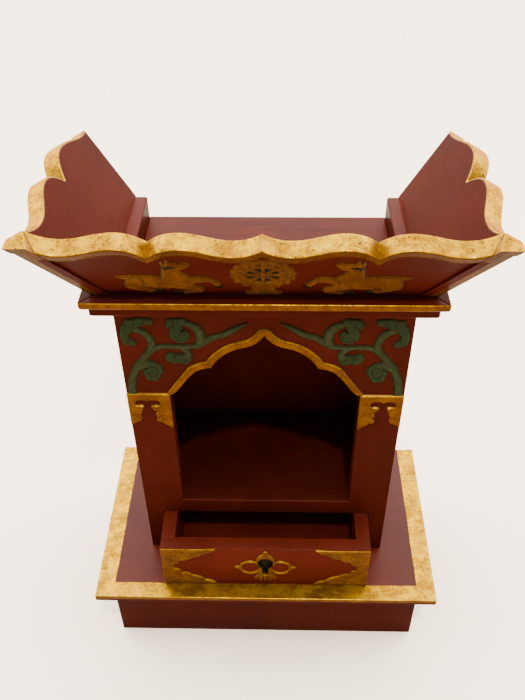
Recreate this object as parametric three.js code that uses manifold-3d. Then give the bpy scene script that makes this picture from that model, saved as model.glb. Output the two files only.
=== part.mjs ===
// A small carved and painted home altar in wood: a hollow plinth, a cabinet with an arched niche and a
// drawer, and an open tray with three leaning, scalloped boards on top.
// Millimetres, +Z up, the front looks along -Y. The origin is on the ground, under the middle of the base.

import * as THREE from "three";
import { mergeVertices } from "three/addons/utils/BufferGeometryUtils.js";
import Module from "manifold-3d";

const wasm = await Module();
wasm.setup();

// Clearances
const jointGap = 0.3;
const drawerSlack = 1.5;
const drawerLift = 0.4;
const drawerHeadroom = 0.6;
const drawerRearGap = 4;

// Cabinet
const cabinetWidth = 225;
const frontSetback = 57.5;
const cabinetWall = 11.5;
const frameThick = 12;
const cabinetHeight = 301.5;

// Plinth and base board
const baseOverhang = 47.5;
const baseDepth = 186;
const baseThick = 7;
const plinthHeight = 77;
const plinthInset = 14.5;
const plinthWall = 12;

// Openings of the cabinet: the width of the frame beside each and the heights between them
const drawerStile = 15.5;
const drawerOpeningHeight = 56;
const railHeight = 17;
const nicheStile = 35.5;
const spandrelHeight = 89.5;
const archRise = 63;
const nicheFloorThick = 11.5;

// Mouldings under the tray
const lowerMouldingHeight = 10;
const lowerMouldingOut = 13.5;
const capHeight = 7;
const capOut = 18.8;
const mouldingChamfer = 2;

// Tray
const lean = THREE.MathUtils.degToRad(30);
const frontLedge = 10.3;
const sideLedge = 5.3;
const frontPanelThick = 13;
const sidePanelThick = 13.5;
const trayDepth = 19.5;
const trayFloorThick = 11.5;
const tipHeight = 74;
const bandWidth = 8;

// Drawer
const drawerPulled = 41;
const drawerFrontThick = 12;
const drawerWall = 12.4;
const drawerBackThick = 10;
const drawerBottomThick = 5;
const drawerBottomRaise = 2;

// Relief
const reliefHeight = 1.8;
const reliefRoot = 0.6;
const discSides = 10;
const curveSteps = 6;
const archBandWidth = 6.5;

// Sizes that the carving below was drawn for. It keeps its proportions when a board grows.
const drawnFrameHalf = 112.5;
const drawnNicheHalf = 77;
const drawnSpandrel = 89.5;
const drawnTipX = 163;
const drawnTipHeight = 74;
const drawnDrawerHalfHeight = 27.5;

// Levels and places worked out from the sizes above
const baseTop = plinthHeight + baseThick;
const baseFront = -baseDepth / 2;
const backPlane = baseDepth / 2;
const cabinetFront = baseFront + frontSetback;
const frameBack = cabinetFront + frameThick;
const backInner = backPlane - cabinetWall;
const cabinetHalf = cabinetWidth / 2;
const baseHalf = cabinetHalf + baseOverhang;
const insideHalf = cabinetHalf - cabinetWall;
const drawerOpeningHalf = cabinetHalf - drawerStile;
const nicheHalf = cabinetHalf - nicheStile;
const mouldingLevel = baseTop + cabinetHeight;
const capLevel = mouldingLevel + lowerMouldingHeight;
const capTop = capLevel + capHeight;
const drawerOpeningTop = baseTop + drawerOpeningHeight;
const nicheFloorTop = drawerOpeningTop + railHeight;
const springLevel = mouldingLevel - spandrelHeight;
const trayFloorTop = capTop - trayDepth;
const trayFloorBottom = trayFloorTop - trayFloorThick;
const sideFoot = cabinetHalf + capOut - sideLedge;
const frontFoot = cabinetFront - capOut + frontLedge;
const tipX = sideFoot + tipHeight * Math.sin(lean);
const tipY = frontFoot - tipHeight * Math.sin(lean);

// Colours
const red = 0x6e2018;
const deepRed = 0x521410;
const gold = 0xc79a3a;

function paint(color, roughness, metalness) {
  return new THREE.MeshStandardMaterial({ color, roughness, metalness });
}

// Turns a closed three.js geometry into a solid for joining and cutting.
function toSolid(geometry) {
  const bare = geometry.clone();
  bare.deleteAttribute("normal");
  bare.deleteAttribute("uv");
  const merged = mergeVertices(bare, 1e-5);
  const vertProperties = new Float32Array(merged.attributes.position.array);
  const triVerts = new Uint32Array(merged.index.array);
  return new wasm.Manifold(new wasm.Mesh({ numProp: 3, vertProperties, triVerts }));
}

function toGeometry(solid) {
  const mesh = solid.getMesh();
  const geometry = new THREE.BufferGeometry();
  geometry.setAttribute("position", new THREE.BufferAttribute(new Float32Array(mesh.vertProperties), 3));
  geometry.setIndex(new THREE.BufferAttribute(new Uint32Array(mesh.triVerts), 1));
  geometry.computeVertexNormals();
  return geometry;
}

function join(solids) {
  return solids.reduce((whole, next) => whole.add(next));
}

// A plate with its outline in x and y, from one height to another.
function plate(shape, low, high) {
  const geometry = new THREE.ExtrudeGeometry(shape, {
    depth: high - low,
    bevelEnabled: false,
    curveSegments: curveSteps,
  });
  geometry.translate(0, 0, low);
  return toSolid(geometry);
}

// Exact turn for upright boards: x stays, the outline's y becomes up, and thickness goes to the front.
const upright = new THREE.Matrix4().makeBasis(
  new THREE.Vector3(1, 0, 0),
  new THREE.Vector3(0, 0, 1),
  new THREE.Vector3(0, -1, 0),
);

function asShape(points) {
  return new THREE.Shape(points.map(([x, y]) => new THREE.Vector2(x, y)));
}

function mirrored(points) {
  return points.map(([x, ...rest]) => [-x, ...rest]).reverse();
}

function boardBetween(x0, x1, y0, y1, z0, z1) {
  const geometry = new THREE.BoxGeometry(x1 - x0, y1 - y0, z1 - z0);
  geometry.translate((x0 + x1) / 2, (y0 + y1) / 2, (z0 + z1) / 2);
  return geometry;
}

const altar = new THREE.Group();

function addPiece(name, geometry, material) {
  const mesh = new THREE.Mesh(geometry, material);
  mesh.name = name;
  altar.add(mesh);
  return mesh;
}

function addBoard(name, x0, x1, y0, y1, z0, z1) {
  return addPiece(name, boardBetween(x0, x1, y0, y1, z0, z1), paint(red, 0.5, 0));
}

// Strokes: a list of discs x, y, radius, each joined to the next by its straight hull.
function ringPoints(x, y, radius, sides) {
  const points = [];
  for (let i = 0; i < sides; i += 1) {
    const angle = (2 * Math.PI * (i + 0.5)) / sides;
    points.push([x + radius * Math.cos(angle), y + radius * Math.sin(angle)]);
  }
  return points;
}

function halfHull(sorted) {
  const hull = [];
  for (const point of sorted) {
    while (hull.length > 1) {
      const [ax, ay] = hull[hull.length - 2];
      const [bx, by] = hull[hull.length - 1];
      const turn = (bx - ax) * (point[1] - ay) - (by - ay) * (point[0] - ax);
      if (turn > 0) {
        break;
      }
      hull.pop();
    }
    hull.push(point);
  }
  hull.pop();
  return hull;
}

function convexHull(points) {
  const sorted = [...points].sort((a, b) => a[0] - b[0] || a[1] - b[1]);
  return [...halfHull(sorted), ...halfHull([...sorted].reverse())];
}

function stroke(discs, low, high) {
  const links = [];
  for (let i = 0; i + 1 < discs.length; i += 1) {
    const ends = [discs[i], discs[i + 1]].flatMap(([x, y, radius]) => ringPoints(x, y, radius, discSides));
    const hull = convexHull(ends);
    links.push(plate(asShape(hull), low, high));
  }
  return join(links);
}

function strokes(list, low, high) {
  return join(list.map((discs) => stroke(discs, low, high)));
}

// Edge outlines: stations with a place and a height, and the form of the curve that reaches each.
const forms = {
  ease: (s) => (1 - Math.cos(Math.PI * s)) / 2,
  drop: (s) => s ** 2.2,
  swing: (s) => 1 - (1 - s) ** 2.2,
  line: (s) => s,
};

function edgePoints(stations) {
  const points = [[stations[0].at, stations[0].high]];
  for (let i = 1; i < stations.length; i += 1) {
    const from = stations[i - 1];
    const to = stations[i];
    const steps = to.form === "line" ? 1 : curveSteps;
    for (let k = 1; k <= steps; k += 1) {
      const s = k / steps;
      const high = from.high + (to.high - from.high) * forms[to.form](s);
      points.push([from.at + (to.at - from.at) * s, high]);
    }
  }
  return points;
}

// The plinth: four boards, open underneath.
function buildPlinth() {
  const half = baseHalf - plinthInset;
  const front = baseFront + plinthInset;
  addBoard("plinth_front", -half, half, front, front + plinthWall, 0, plinthHeight);
  addBoard("plinth_left", -half, plinthWall - half, front + plinthWall, backPlane, 0, plinthHeight);
  addBoard("plinth_right", half - plinthWall, half, front + plinthWall, backPlane, 0, plinthHeight);
  addBoard("plinth_back", plinthWall - half, half - plinthWall, backPlane - plinthWall, backPlane, 0, plinthHeight);
  addBoard("base_board", -baseHalf, baseHalf, baseFront, backPlane, plinthHeight, baseTop);
}

// The cabinet's boards behind the front frame. The sides rise past the tray's floor.
function buildCabinet() {
  addBoard("cabinet_left_side", -cabinetHalf, -insideHalf, frameBack, backPlane, baseTop, capTop);
  addBoard("cabinet_right_side", insideHalf, cabinetHalf, frameBack, backPlane, baseTop, capTop);
  addBoard("cabinet_back", -insideHalf, insideHalf, backInner, backPlane, baseTop, trayFloorBottom);
  const floorBottom = nicheFloorTop - nicheFloorThick;
  addBoard("niche_floor", -insideHalf, insideHalf, frameBack, backInner, floorBottom, nicheFloorTop);
  addBoard("tray_floor", -insideHalf, insideHalf, frameBack, backPlane, trayFloorBottom, trayFloorTop);
}

// Half of the arch from the right spring to the peak: one cusp and one ogee, as shares of width and rise.
const archCusp = [0.545, 0.465];
const archShoulder = [0.22, 0.8];
const archCurves = [
  [[1, 0], [0.857, 0.048], [0.818, 0.46], archCusp],
  [archCusp, [0.48, 0.62], [0.377, 0.754], archShoulder],
  [archShoulder, [0.117, 0.829], [0.045, 0.897], [0, 1]],
];

function halfArch() {
  const points = [];
  for (const [i, curve] of archCurves.entries()) {
    const [a, b, c, d] = curve.map(([x, y]) => new THREE.Vector2(x * nicheHalf, springLevel + y * archRise));
    const samples = new THREE.CubicBezierCurve(a, b, c, d).getPoints(curveSteps);
    points.push(...samples.slice(i === 0 ? 0 : 1));
  }
  return points.map((point) => [point.x, point.y]);
}

// Moves a polyline sideways to its right by a width, with mitred corners.
function offsetLine(points, width) {
  const normals = points.slice(1).map(([x, y], i) => {
    const run = new THREE.Vector2(x - points[i][0], y - points[i][1]).normalize();
    return new THREE.Vector2(run.y, -run.x);
  });
  return points.map(([x, y], i) => {
    const before = normals[Math.max(i - 1, 0)];
    const after = normals[Math.min(i, normals.length - 1)];
    const reach = width / (1 + before.dot(after));
    return [x + (before.x + after.x) * reach, y + (before.y + after.y) * reach];
  });
}

// Foliage on the right spandrel. Places run from the arch's spring level, x from the middle.
const foliage = [
  [[106.9, 1, 3.5], [106, 13, 3.4], [101.3, 27.7, 3.3], [96.3, 35.4, 3.2], [88, 46, 3], [79, 51, 2.7],
    [61.3, 50.7, 2.6], [52, 52, 2.8], [46.5, 55, 3], [40.2, 59.9, 3.1], [31, 63.3, 3], [24.7, 66.9, 2.9],
    [18, 71.6, 1.9], [12, 75, 0.5]],
  [[88.9, 45.4, 2.8], [86.3, 52, 3], [87.4, 58.8, 3.2], [91.4, 64.8, 3.2], [97, 68, 3.6]],
  [[101, 74, 4.4], [94, 75.3, 4.3], [86.4, 75.6, 3.2]],
  [[103.6, 69.4, 4.6], [106.6, 62, 3.4], [104.6, 55.8, 3.9], [101.4, 54.6, 3.4]],
  [[50.7, 52.1, 3], [48.9, 57.7, 3.6], [48.6, 63.2, 3.8], [51.2, 69.4, 3.8], [56.4, 73.2, 3.1], [61, 74.4, 3]],
  [[70.6, 74, 3.6], [65.4, 76, 3.4], [62, 76.6, 3]],
  [[66.4, 70, 5], [63.8, 62.2, 7.4]],
  [[64.7, 49.9, 2.4], [59.7, 46, 3], [59.6, 41, 3.6]],
  [[72.8, 40, 4.6], [66, 38.6, 5.2], [60.6, 38.8, 4]],
  [[99, 28, 2.4], [91.6, 33.2, 3.4]],
  [[88.9, 28.4, 7.6], [88.6, 23, 7.2]],
];

// The gold bracket under the right spring: two hanging leaves with scalloped inner edges.
const bracketOutline = [
  [drawnNicheHalf, 0], [drawnNicheHalf, -40.2], [80, -38.4], [83.4, -35.6], [87, -33], [90.6, -31.8], [89.4, -27],
  [90.8, -23.4], [89, -20.2], [93.2, -17.4], [94, -13.6], [99.4, -13.6], [100, -17.4], [101.6, -20.2],
  [102.8, -23.4], [102, -27], [103.4, -31.6], [107.6, -33.6], [drawnFrameHalf, -36.4], [drawnFrameHalf, 0],
];
const bracketCurls = [
  [[96.3, -12.4, 2.8], [93, -10.4, 3], [89.6, -10.4, 2.8], [87.8, -11.6, 1.8]],
  [[96.3, -12.4, 2.8], [99.6, -10.4, 3], [103, -10.4, 2.8], [104.8, -11.6, 1.8]],
];

// Places on the bracket keep their share of the width between the niche and the cabinet's edge.
function onStile(list) {
  const share = (cabinetHalf - nicheHalf) / (drawnFrameHalf - drawnNicheHalf);
  return list.map((line) => line.map(([x, ...rest]) => [nicheHalf + (x - drawnNicheHalf) * share, ...rest]));
}

function bracketSolid(low, high) {
  const [outline] = onStile([bracketOutline]);
  const curls = strokes(onStile(bracketCurls), low - 1, high + 1);
  return plate(asShape(outline), low, high).subtract(curls);
}

// The carved front frame, built flat with its lower edge at zero height and turned upright.
function buildFrontFrame() {
  const arch = halfArch();
  const outer = offsetLine(arch, archBandWidth);
  outer[0] = [arch[0][0] + archBandWidth / 2, springLevel];
  outer[outer.length - 1][0] = 0;
  const slot = drawerOpeningHalf;
  const outline = [
    [slot, baseTop], [cabinetHalf, baseTop], [cabinetHalf, capTop], [-cabinetHalf, capTop],
    [-cabinetHalf, baseTop], [-slot, baseTop], [-slot, drawerOpeningTop], [slot, drawerOpeningTop],
  ];
  const shape = asShape(outline);
  const leftArch = mirrored(arch);
  const mouth = [[nicheHalf, nicheFloorTop], ...arch, ...leftArch.slice(1), [-nicheHalf, nicheFloorTop]];
  shape.holes.push(asShape(mouth));
  const board = plate(shape, 0, frameThick);
  const low = frameThick - reliefRoot;
  const high = frameThick + reliefHeight;
  const band = [...arch, ...leftArch.slice(1), ...mirrored(outer).reverse(), ...[...outer].reverse().slice(1)];
  const relief = [plate(asShape(band), low, high)];
  const leaves = strokes(foliage, low, high).scale([cabinetHalf / drawnFrameHalf, spandrelHeight / drawnSpandrel, 1]);
  const spandrel = leaves.add(bracketSolid(low, high)).translate([0, springLevel, 0]);
  relief.push(spandrel, spandrel.mirror([1, 0, 0]));
  const carved = toGeometry(join([board, ...relief]));
  carved.applyMatrix4(upright);
  carved.translate(0, frameBack, 0);
  addPiece("front_frame", carved, paint(red, 0.45, 0));
}

// A moulding strip: its section runs outwards and up, and its front corners are mitred.
function mouldingSection(out, height) {
  const cut = mouldingChamfer;
  return asShape([[0, 0], [out - cut, 0], [out, cut], [out, height], [0, height]]);
}

function mouldingStrip(out, height, length) {
  return new THREE.ExtrudeGeometry(mouldingSection(out, height), { depth: length, bevelEnabled: false });
}

// A large block that fills the space beyond a plane.
const blockSize = 900;

function beyond(normal, point) {
  const block = new THREE.BoxGeometry(blockSize, blockSize, blockSize);
  block.translate(0, 0, blockSize / 2);
  const turn = new THREE.Quaternion().setFromUnitVectors(new THREE.Vector3(0, 0, 1), normal.clone().normalize());
  block.applyQuaternion(turn);
  block.translate(point.x, point.y, point.z);
  return block;
}

function buildMoulding(name, level, out, height) {
  const frontLength = cabinetWidth + 2 * out;
  const front = mouldingStrip(out, height, frontLength);
  const frontAxes = new THREE.Matrix4().makeBasis(
    new THREE.Vector3(0, -1, 0),
    new THREE.Vector3(0, 0, 1),
    new THREE.Vector3(-1, 0, 0),
  );
  front.applyMatrix4(frontAxes);
  front.translate(frontLength / 2, cabinetFront, level);
  const corner = new THREE.Vector3(cabinetHalf, cabinetFront, level);
  let strip = toSolid(front);
  for (const side of [-1, 1]) {
    const normal = new THREE.Vector3(side, 1, 0).normalize();
    const point = corner.clone().setX(side * corner.x).addScaledVector(normal, -jointGap / 2);
    strip = strip.subtract(toSolid(beyond(normal, point)));
  }
  addPiece(`${name}_front`, toGeometry(strip), paint(deepRed, 0.5, 0));
  const sideLength = backPlane - cabinetFront + out;
  for (const [label, side] of [["left", -1], ["right", 1]]) {
    const geometry = mouldingStrip(out, height, sideLength);
    geometry.applyMatrix4(new THREE.Matrix4().makeBasis(
      new THREE.Vector3(side, 0, 0),
      new THREE.Vector3(0, 0, 1),
      new THREE.Vector3(0, -side, 0),
    ));
    const start = side > 0 ? backPlane : backPlane - sideLength;
    geometry.translate(side * cabinetHalf, start, level);
    const normal = new THREE.Vector3(-side, -1, 0).normalize();
    const point = corner.clone().setX(side * corner.x).addScaledVector(normal, -jointGap / 2);
    const cut = toSolid(geometry).subtract(toSolid(beyond(normal, point)));
    addPiece(`${name}_${label}`, toGeometry(cut), paint(deepRed, 0.5, 0));
  }
}

// The tray's boards lean outwards. Each is built flat: x along it, y up its slope, z out of its front face.
function leaningPlace(foot) {
  const place = new THREE.Object3D();
  place.position.set(0, -foot, capTop);
  place.rotation.x = Math.PI / 2 + lean;
  return place;
}

function trim(solid, toWorld, normal, point) {
  const block = beyond(normal, point);
  block.applyMatrix4(toWorld.clone().invert());
  return solid.subtract(toSolid(block));
}

function leaningBoard(top, thick) {
  const below = -thick * Math.tan(lean) - jointGap;
  const [first, last] = [top[0][0], top[top.length - 1][0]];
  const lowerEdge = top.map(([x, y]) => [x, y - bandWidth]).reverse();
  const field = plate(asShape([[first, below], [last, below], ...[...top].reverse()]), -thick, -reliefHeight);
  const band = plate(asShape([...top, ...lowerEdge].reverse()), -reliefHeight - reliefRoot, 0);
  return field.add(band);
}

const footNormal = new THREE.Vector3(0, 0, -1);
const footPoint = new THREE.Vector3(0, 0, capTop + jointGap);

// The scalloped edges: places as shares of the board's reach, heights as shares of the tip's height.
function frontEdge() {
  const stations = [
    { at: 0, high: 0.9595 },
    { at: 0.117, high: 0.8311, form: "swing" },
    { at: 0.325, high: 0.973, form: "ease" },
    { at: 0.458, high: 0.8041, form: "drop" },
    { at: 0.58, high: 0.973, form: "swing" },
    { at: 0.797, high: 0.8446, form: "ease" },
    { at: 0.925, high: 1, form: "drop" },
    { at: 1.04, high: 1, form: "line" },
  ];
  const half = edgePoints(stations).map(([share, high]) => [share * tipX, high * tipHeight]);
  return [...mirrored(half).slice(0, -1), ...half];
}

function sideEdge() {
  const length = backPlane - tipY;
  const stations = [
    { at: -0.05, high: 1 },
    { at: 0.06, high: 1, form: "line" },
    { at: 0.22, high: 0.8716, form: "swing" },
    { at: 0.415, high: 1.0068, form: "ease" },
    { at: 0.553, high: 0.8041, form: "drop" },
    { at: 0.69, high: 1.0068, form: "swing" },
    { at: 1, high: 0.824, form: "ease" },
  ];
  return edgePoints(stations).map(([share, high]) => [tipY + share * length, high * tipHeight]);
}

// One deer, to the right of the wheel and facing it. Places are on the front panel's face.
const deer = [
  [[86.5, 20.8, 10.6], [76, 21.8, 9.6], [62, 21.8, 10.4], [58, 22.5, 11]],
  [[59, 28, 9.6], [61.5, 37, 6.6], [62.2, 44, 5.6]],
  [[62.2, 45.6, 5.8], [57, 47, 5.2], [51.6, 48.4, 3.8]],
  [[64.6, 49, 2.2], [66.6, 53.6, 1]],
  [[61.6, 50.4, 2.4], [63.2, 55.6, 1]],
  [[93, 27.4, 3.4], [98.5, 29.6, 2.2], [102.4, 30.6, 0.8]],
  [[51, 24.6, 5.4], [43, 25.6, 4.4], [37, 26.4, 3.6], [33.6, 21.4, 2.8], [30.2, 13.4, 2.6]],
  [[52, 16, 6], [45, 9.8, 4.4], [45.4, 5.6, 3.4], [57, 3.2, 2.4], [61, 3, 2.4]],
  [[87, 14, 8.8], [86.5, 11, 4.6], [80.4, 7.4, 3.2], [70.4, 4.6, 2.4]],
];

// The wheel on its lotus foot, inside a ring of flames.
const wheelHigh = 34;
const wheelRadius = 15;
const rimWidth = 3.2;
const hubRadius = 3.6;
const spokeCount = 8;
const spokeHalf = 1.1;
const flameRadius = 23.2;
const flameCount = 16;
const flameDepth = 1.3;
const lotusHalf = 12.5;
const lotusNeck = 8.5;
const lotusTop = 13;
const lotusWaist = 8.5;
const petalCount = 5;
const petalRadius = 2.6;
const rimSides = 36;
const pointsPerFlame = 4;

// How far these parts of the wheel lie below its rim, as shares of the relief's height
const hubSunk = 0.2;
const footSunk = 0.3;
const flamesSunk = 0.4;
const pocketSunk = 0.9;

function flameOutline() {
  const points = [];
  for (let i = 0; i < flameCount * pointsPerFlame; i += 1) {
    const angle = (2 * Math.PI * i) / (flameCount * pointsPerFlame);
    const radius = flameRadius - flameDepth * Math.abs(Math.cos((flameCount * angle) / 2));
    points.push([radius * Math.cos(angle), wheelHigh + radius * Math.sin(angle)]);
  }
  return asShape(points);
}

function wheelSolid() {
  const root = -reliefHeight - reliefRoot;
  const pocket = asShape(ringPoints(0, wheelHigh, wheelRadius - rimWidth, rimSides));
  const rim = plate(asShape(ringPoints(0, wheelHigh, wheelRadius, rimSides)), root, 0);
  const flames = plate(flameOutline(), root, -flamesSunk * reliefHeight);
  const spokeStrokes = [];
  for (let i = 0; i < spokeCount; i += 1) {
    const angle = (2 * Math.PI * (i + 0.5)) / spokeCount;
    const reach = wheelRadius - rimWidth / 2;
    const end = [reach * Math.cos(angle), wheelHigh + reach * Math.sin(angle), spokeHalf];
    spokeStrokes.push([[0, wheelHigh, spokeHalf], end]);
  }
  const hub = plate(asShape(ringPoints(0, wheelHigh, hubRadius, 2 * discSides)), root, -hubSunk * reliefHeight);
  const open = rim.add(flames).subtract(plate(pocket, -pocketSunk * reliefHeight, reliefHeight));
  const foot = asShape([
    [-lotusHalf, petalRadius], [lotusHalf, petalRadius], [lotusNeck, lotusWaist], [lotusNeck, lotusTop],
    [-lotusNeck, lotusTop], [-lotusNeck, lotusWaist],
  ]);
  const petals = [];
  for (let i = 0; i < petalCount; i += 1) {
    const x = lotusHalf * ((2 * i) / (petalCount - 1) - 1);
    petals.push([[x, petalRadius + 1, petalRadius], [x / 2, lotusWaist, 1]]);
  }
  return join([
    open,
    strokes(spokeStrokes, root, -hubSunk * reliefHeight),
    hub,
    plate(foot, root, -footSunk * reliefHeight),
    strokes(petals, root, 0),
  ]);
}

function buildTrayFront() {
  const place = leaningPlace(-frontFoot);
  place.updateMatrix();
  const figure = strokes(deer, -reliefHeight - reliefRoot, 0);
  const carving = join([figure, figure.mirror([1, 0, 0]), wheelSolid()]);
  const fitted = carving.scale([tipX / drawnTipX, tipHeight / drawnTipHeight, 1]);
  let panel = leaningBoard(frontEdge(), frontPanelThick).add(fitted);
  panel = trim(panel, place.matrix, footNormal, footPoint);
  const innerFoot = sideFoot - sidePanelThick / Math.cos(lean);
  for (const side of [-1, 1]) {
    const normal = new THREE.Vector3(side * Math.cos(lean), 0, -Math.sin(lean));
    const point = new THREE.Vector3(side * innerFoot, 0, capTop).addScaledVector(normal, -jointGap);
    panel = trim(panel, place.matrix, normal, point);
  }
  const mesh = addPiece("tray_front_panel", toGeometry(panel), paint(gold, 0.4, 0.6));
  mesh.position.copy(place.position);
  mesh.rotation.copy(place.rotation);
}

function buildTraySide(name, side) {
  const wing = new THREE.Group();
  wing.rotation.z = (side * Math.PI) / 2;
  wing.updateMatrix();
  const place = leaningPlace(sideFoot);
  place.updateMatrix();
  const toWorld = wing.matrix.clone().multiply(place.matrix);
  const edge = side > 0 ? sideEdge() : mirrored(sideEdge());
  let panel = trim(leaningBoard(edge, sidePanelThick), toWorld, footNormal, footPoint);
  const frontNormal = new THREE.Vector3(0, -Math.cos(lean), -Math.sin(lean));
  panel = trim(panel, toWorld, frontNormal, new THREE.Vector3(0, frontFoot, capTop));
  const topNormal = new THREE.Vector3(0, -Math.sin(lean), Math.cos(lean));
  panel = trim(panel, toWorld, topNormal, new THREE.Vector3(0, tipY, capTop + tipHeight * Math.cos(lean)));
  const mesh = addPiece(name, toGeometry(panel), paint(gold, 0.4, 0.6));
  mesh.position.copy(place.position);
  mesh.rotation.copy(place.rotation);
  wing.add(mesh);
  altar.add(wing);
}

// The gold corners of the drawer's front: nodes in from its end, and their share of its half height.
const cornerNodes = [[50.5, 1], [39.5, 0.7636], [27.5, 0.4909], [17.5, 0.3455], [11.5, 0.1091]];
const cornerBulge = 1.6;

// The ornament around the keyhole. Places run from the middle of the drawer's face.
const keyhole = [[[0, 8, 6.2], [0, 3, 3], [0, -4, 2], [0, -6.5, 2.6]]];
const keyholeDepth = 3;
const ornamentDome = [[0, 6, 10.4], [0, 13, 7.4], [0, 19.5, 3], [0, 23, 2.4]];
const ornamentBody = [[0, 4, 8], [0, -6, 5]];
const ringCentre = [13, -2];
const ringOuter = 9.8;
const ringInner = 6;
const finial = [[22, -2, 2.6], [26, -1.6, 1.5]];
const tailCount = 5;
const tailStart = [-9, 2.2];
const tailEnd = [-19, 2.3];
const tailSpread = 4.2;

function scalloped(nodes) {
  const points = [nodes[0]];
  for (let i = 1; i < nodes.length; i += 1) {
    const [ax, ay] = nodes[i - 1];
    const [bx, by] = nodes[i];
    const run = new THREE.Vector2(bx - ax, by - ay);
    const out = new THREE.Vector2(run.y, -run.x).normalize().multiplyScalar(cornerBulge);
    for (const s of [0.25, 0.5, 0.75, 1]) {
      const rise = Math.sin(Math.PI * s);
      points.push([ax + run.x * s + out.x * rise, ay + run.y * s + out.y * rise]);
    }
  }
  return points;
}

function cornerOutline(half, high) {
  const upper = scalloped(cornerNodes.map(([inset, share]) => [half - inset, share * high]));
  const lower = upper.map(([x, y]) => [x, -y]).reverse();
  return asShape([...upper, ...lower, [half, -high], [half, high]].reverse());
}

function ornament(low, high) {
  const [ringX, ringY] = ringCentre;
  const parts = [stroke(ornamentDome, low, high)];
  for (const side of [-1, 1]) {
    const centre = [side * ringX, ringY];
    const eye = plate(asShape(ringPoints(...centre, ringInner, 2 * discSides)), low - 1, high + 1);
    parts.push(plate(asShape(ringPoints(...centre, ringOuter, 2 * discSides)), low, high).subtract(eye));
    parts.push(stroke(finial.map(([x, y, radius]) => [side * x, y, radius]), low, high));
  }
  const petals = [];
  for (let i = 0; i < tailCount; i += 1) {
    const x = (i - (tailCount - 1) / 2) * tailSpread;
    petals.push([[x / 2, ...tailStart], [x, ...tailEnd]]);
  }
  parts.push(stroke(ornamentBody, low, high), strokes(petals, low, high));
  return join(parts);
}

function buildDrawer() {
  const half = drawerOpeningHalf - drawerSlack;
  const inner = half - drawerWall;
  const bottom = baseTop + drawerLift;
  const top = drawerOpeningTop - drawerHeadroom;
  const high = (top - bottom) / 2;
  const frontBack = cabinetFront + drawerFrontThick;
  const rear = backInner - drawerRearGap;
  const floor = bottom + drawerBottomRaise;
  const drawer = new THREE.Group();
  drawer.position.y = -drawerPulled;
  altar.add(drawer);

  const low = drawerFrontThick - reliefRoot;
  const proud = drawerFrontThick + reliefHeight;
  const board = plate(asShape([[-half, -high], [half, -high], [half, high], [-half, high]]), 0, drawerFrontThick);
  const corner = plate(cornerOutline(half, high), low, proud);
  const fit = [high / drawnDrawerHalfHeight, high / drawnDrawerHalfHeight, 1];
  const pocket = strokes(keyhole, drawerFrontThick - keyholeDepth, proud + 1).scale(fit);
  const middle = ornament(low, proud).scale(fit);
  const carved = join([board, corner, corner.mirror([1, 0, 0]), middle]).subtract(pocket);
  const face = toGeometry(carved);
  face.applyMatrix4(upright);
  face.translate(0, frontBack, (top + bottom) / 2);
  drawer.add(addPiece("drawer_front", face, paint(red, 0.45, 0)));

  drawer.add(addBoard("drawer_left_side", -half, -inner, frontBack, rear, bottom, top));
  drawer.add(addBoard("drawer_right_side", inner, half, frontBack, rear, bottom, top));
  drawer.add(addBoard("drawer_back", -inner, inner, rear - drawerBackThick, rear, bottom, top));
  const floorTop = floor + drawerBottomThick;
  drawer.add(addBoard("drawer_bottom", -inner, inner, frontBack, rear - drawerBackThick, floor, floorTop));
}

buildPlinth();
buildCabinet();
buildFrontFrame();
buildMoulding("lower_moulding", mouldingLevel, lowerMouldingOut, lowerMouldingHeight);
buildMoulding("cap_moulding", capLevel, capOut, capHeight);
buildTrayFront();
buildTraySide("tray_left_panel", -1);
buildTraySide("tray_right_panel", 1);
buildDrawer();

export default altar;
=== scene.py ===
"""A small carved and painted home altar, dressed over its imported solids.

Places and sizes are in millimetres.
"""

import math

import bmesh
import bpy
import numpy as np
from mathutils import Matrix, Vector


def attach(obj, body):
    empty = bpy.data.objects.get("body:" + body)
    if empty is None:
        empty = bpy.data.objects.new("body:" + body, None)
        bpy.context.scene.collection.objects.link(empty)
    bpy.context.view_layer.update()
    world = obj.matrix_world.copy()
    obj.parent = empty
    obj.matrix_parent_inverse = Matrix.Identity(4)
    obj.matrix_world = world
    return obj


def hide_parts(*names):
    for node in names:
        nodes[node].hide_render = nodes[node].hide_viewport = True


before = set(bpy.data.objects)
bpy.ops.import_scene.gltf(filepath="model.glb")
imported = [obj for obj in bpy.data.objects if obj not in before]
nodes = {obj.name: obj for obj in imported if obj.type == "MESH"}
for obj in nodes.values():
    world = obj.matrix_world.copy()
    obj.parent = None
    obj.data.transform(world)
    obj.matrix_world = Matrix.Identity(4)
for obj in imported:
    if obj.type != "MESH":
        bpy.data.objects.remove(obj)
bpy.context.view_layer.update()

# Sizes shared with the solids
MM = 0.001
LEAN = math.radians(30)
COS = math.cos(LEAN)
SIN = math.sin(LEAN)
TAN = math.tan(LEAN)
GAP = 0.3
CABINET_HALF = 112.5
NICHE_HALF = 77
DRAWER_SLOT_HALF = 97
FRAME_FRONT = -35.5
FRAME_THICK = 12
BASE_TOP = 84
SLOT_TOP = 140
NICHE_FLOOR = 157
SPRING = 296
ARCH_RISE = 63
CAP_TOP = 402.5
BACK = 93
FRONT_FOOT = -44
SIDE_FOOT = 126
FRONT_THICK = 13
SIDE_THICK = 13.5
TIP_X = 163
TIP_Y = -81
TIP_HIGH = 74
BAND = 8
RELIEF = 1.8
DRAWER_HALF = 95.5
DRAWER_HALF_HIGH = 27.5
DRAWER_MIDDLE = 111.9
DRAWER_FRONT = -76.5
DRAWER_THICK = 12

# Where gold begins: on the cap moulding, on the base board, and at the tips of the tray's side boards
CAP_GOLD_SIDE = 130
CAP_GOLD_FRONT = -53
BORDER_SIDE = 143
BORDER_FRONT = -77.5
BORDER_FOOT = 80
TIP_GOLD = 22

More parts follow.
